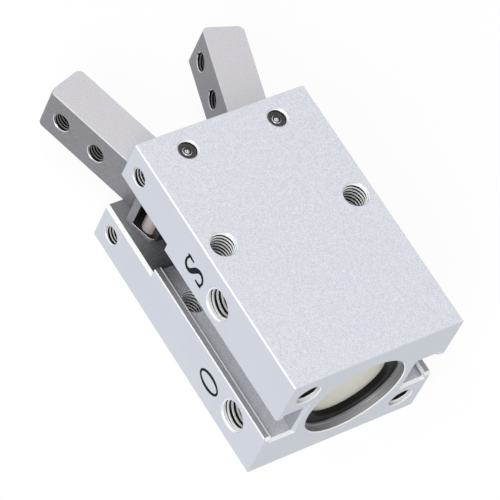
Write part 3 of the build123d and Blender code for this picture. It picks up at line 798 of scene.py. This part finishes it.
# %% Draw a letter with a nib
def nib_stroke(work, points, closed, place):
    """One stroke as a closed band. Each point is (right, up, width) in mm."""
    path = smooth_path(points, closed)
    count = len(path)
    sides = []
    for number, (right, up, width) in enumerate(path):
        ahead = path[(number + 1) % count] if closed else path[min(number + 1, count - 1)]
        behind = path[number - 1] if closed else path[max(number - 1, 0)]
        run = (ahead - behind).to_2d().normalized() * width / 2
        sides.append([work.verts.new(place(right - run.y * sign, up + run.x * sign, lift))
                      for sign, lift in ((-1, 0), (1, 0), (1, 1), (-1, 1))])
    for number in range(count if closed else count - 1):
        first, second = sides[number], sides[(number + 1) % count]
        for this, following in ((0, 1), (1, 2), (2, 3), (3, 0)):
            work.faces.new((first[this], first[following], second[following], second[this]))
    if not closed:
        work.faces.new(sides[0])
        work.faces.new(sides[-1][::-1])


def port_letter(name, strokes, y, z):
    """A letter on the port face, centred at y and z in mm, with its top towards the fingers."""
    proud, sunk = 0.01, 0.004

    def place(right, up, lift):
        return Vector((-half_width - (proud if lift else -sunk), y + up, z + right)) * MM

    work = bmesh.new()
    for points, closed in strokes:
        nib_stroke(work, points, closed, place)
    bmesh.ops.recalc_face_normals(work, faces=work.faces)
    mesh = bpy.data.meshes.new(name)
    work.to_mesh(mesh)
    work.free()
    mesh.materials.append(port_mark)
    mount_piece(new_piece(name, mesh), "body", "body_aluminium")
    print(name, "has", len(mesh.polygons), "faces")


# %% The two marks
# Each point is its distance to the right and up from the letter's middle, and the stroke's width
s_spine = [(1.28, 1.72, 0.36), (0.85, 2.0, 0.38), (0.15, 2.12, 0.44), (-0.6, 1.93, 0.55),
           (-1.05, 1.42, 0.67), (-0.92, 0.72, 0.81), (-0.3, 0.2, 0.93), (0.35, -0.2, 0.95),
           (0.92, -0.72, 0.83), (1.08, -1.4, 0.67), (0.72, -1.98, 0.53), (0.1, -2.28, 0.42),
           (-0.6, -2.26, 0.38), (-1.08, -1.95, 0.36)]
s_upper_serif = [(1.34, 2.26, 0.36), (1.32, 1.7, 0.55), (1.27, 0.95, 0.4), (1.25, 0.62, 0.32)]
s_lower_serif = [(-1.13, -2.42, 0.36), (-1.13, -1.9, 0.55), (-1.1, -1.2, 0.4), (-1.08, -0.9, 0.32)]
port_letter("shut_port_mark", [(s_spine, False), (s_upper_serif, False), (s_lower_serif, False)],
            y=24.98, z=6.41)
o_half_width, o_half_height, o_thin, o_swell, o_points = 1.42, 2.2, 0.38, 0.28, 20
o_turns = [2 * pi * step / o_points for step in range(o_points)]
o_ring = [(o_half_width * cos(turn), o_half_height * sin(turn), o_thin + o_swell * cos(turn) ** 2)
          for turn in o_turns]
port_letter("open_port_mark", [(o_ring, True)], y=13.44, z=-6.97)

# %% [markdown]
# ## Studio
# A pale floor just under the gripper and two large soft lamps: one from above, and a stronger one
# from the port side, which makes up for that side's slant. The background is white for what the
# camera and reflections see, and a plain grey for the light that it gives, so the colours stay as
# they were written.


# %% Floor and world
def white_when_seen(tree, seen, unseen):
    """A value that is seen for camera, glossy and transmission rays, and unseen for the others."""
    rays = tree.nodes.new("ShaderNodeLightPath").outputs
    shown_rays = math_node(tree, "MAXIMUM", rays["Is Camera Ray"], rays["Is Glossy Ray"])
    shown_rays = math_node(tree, "MAXIMUM", shown_rays, rays["Is Transmission Ray"])
    return math_node(tree, "ADD", math_node(tree, "MULTIPLY", shown_rays, seen - unseen), unseen)


def make_floor(half=1.5, gap=0.05 * MM, grey=0.12, seen=0.9, glow=0.45):
    level = body_low.z - gap
    corners = [(x * half, y * half, level) for x, y in ((-1, -1), (1, -1), (1, 1), (-1, 1))]
    mesh = bpy.data.meshes.new("floor")
    mesh.from_pydata(corners, [], [(0, 1, 2, 3)])
    material = bpy.data.materials.new("pale_floor")
    material.use_nodes = True
    tree = material.node_tree
    tree.nodes.clear()
    matte = tree.nodes.new("ShaderNodeBsdfDiffuse")
    matte.inputs["Color"].default_value = (grey, grey, grey, 1)
    shine = tree.nodes.new("ShaderNodeEmission")
    tree.links.new(white_when_seen(tree, seen, glow), shine.inputs["Strength"])
    both = tree.nodes.new("ShaderNodeAddShader")
    tree.links.new(matte.outputs[0], both.inputs[0])
    tree.links.new(shine.outputs[0], both.inputs[1])
    sink = tree.nodes.new("ShaderNodeOutputMaterial")
    tree.links.new(both.outputs[0], sink.inputs["Surface"])
    mesh.materials.append(material)
    new_piece("floor", mesh)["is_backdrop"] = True


def make_world(glow):
    world = bpy.data.worlds.new("studio")
    bpy.context.scene.world = world
    world.use_nodes = True
    tree = world.node_tree
    background = tree.nodes["Background"]
    background.inputs["Color"].default_value = (1, 1, 1, 1)
    tree.links.new(white_when_seen(tree, 1.0, glow), background.inputs["Strength"])


make_floor()
make_world(glow=0.42)


# %% Lamps
def add_lamp(name, place, size, power, target=(0, 0.022, 0)):
    lamp = bpy.data.lights.new(name, "AREA")
    lamp.size = size
    lamp.energy = power
    lamp_object = new_piece(name, lamp)
    lamp_object.location = place
    lamp_object.rotation_euler = (Vector(target) - Vector(place)).to_track_quat("-Z", "Y").to_euler()


add_lamp("top_lamp", (-0.35, 0.1, 0.9), size=0.6, power=2.4)
add_lamp("port_side_lamp", (-0.7, -0.4, 0.5), size=0.5, power=4.4)
bpy.context.scene.view_settings.view_transform = "Standard"
print("lamps:", [lamp.name for lamp in bpy.data.lights])

# %% [markdown]
# ## Camera
# The photograph looks down on the large face from the rear and the port side, from far enough that
# parallel edges stay nearly parallel. Its place and turn were solved from the body's corners and
# holes.

# %% Camera
camera_data = bpy.data.cameras.new("camera")
camera_data.lens = 264.5
camera_data.sensor_width = 36
camera = new_piece("camera", camera_data)
camera.location = Vector((-276.5, -161.6, 427.4)) * MM
right, up, look = (Vector(axis) for axis in (
    (0.8057, -0.5164, 0.2902), (0.3056, 0.782, 0.5433), (0.5074, 0.3491, -0.7878)))
camera.rotation_euler = Matrix((right, up, -look)).transposed().to_euler()
bpy.context.scene.camera = camera
print("camera at", [round(value, 3) for value in camera.location])

# %% [markdown]
# ## The size of the dressed part
# The box of everything that renders is printed in mm; the dressed part should stay inside the CAD model's box.

# %% The visual box
low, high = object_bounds()
print("visual box in mm:", [round(value / MM, 2) for value in (*low, *high)])
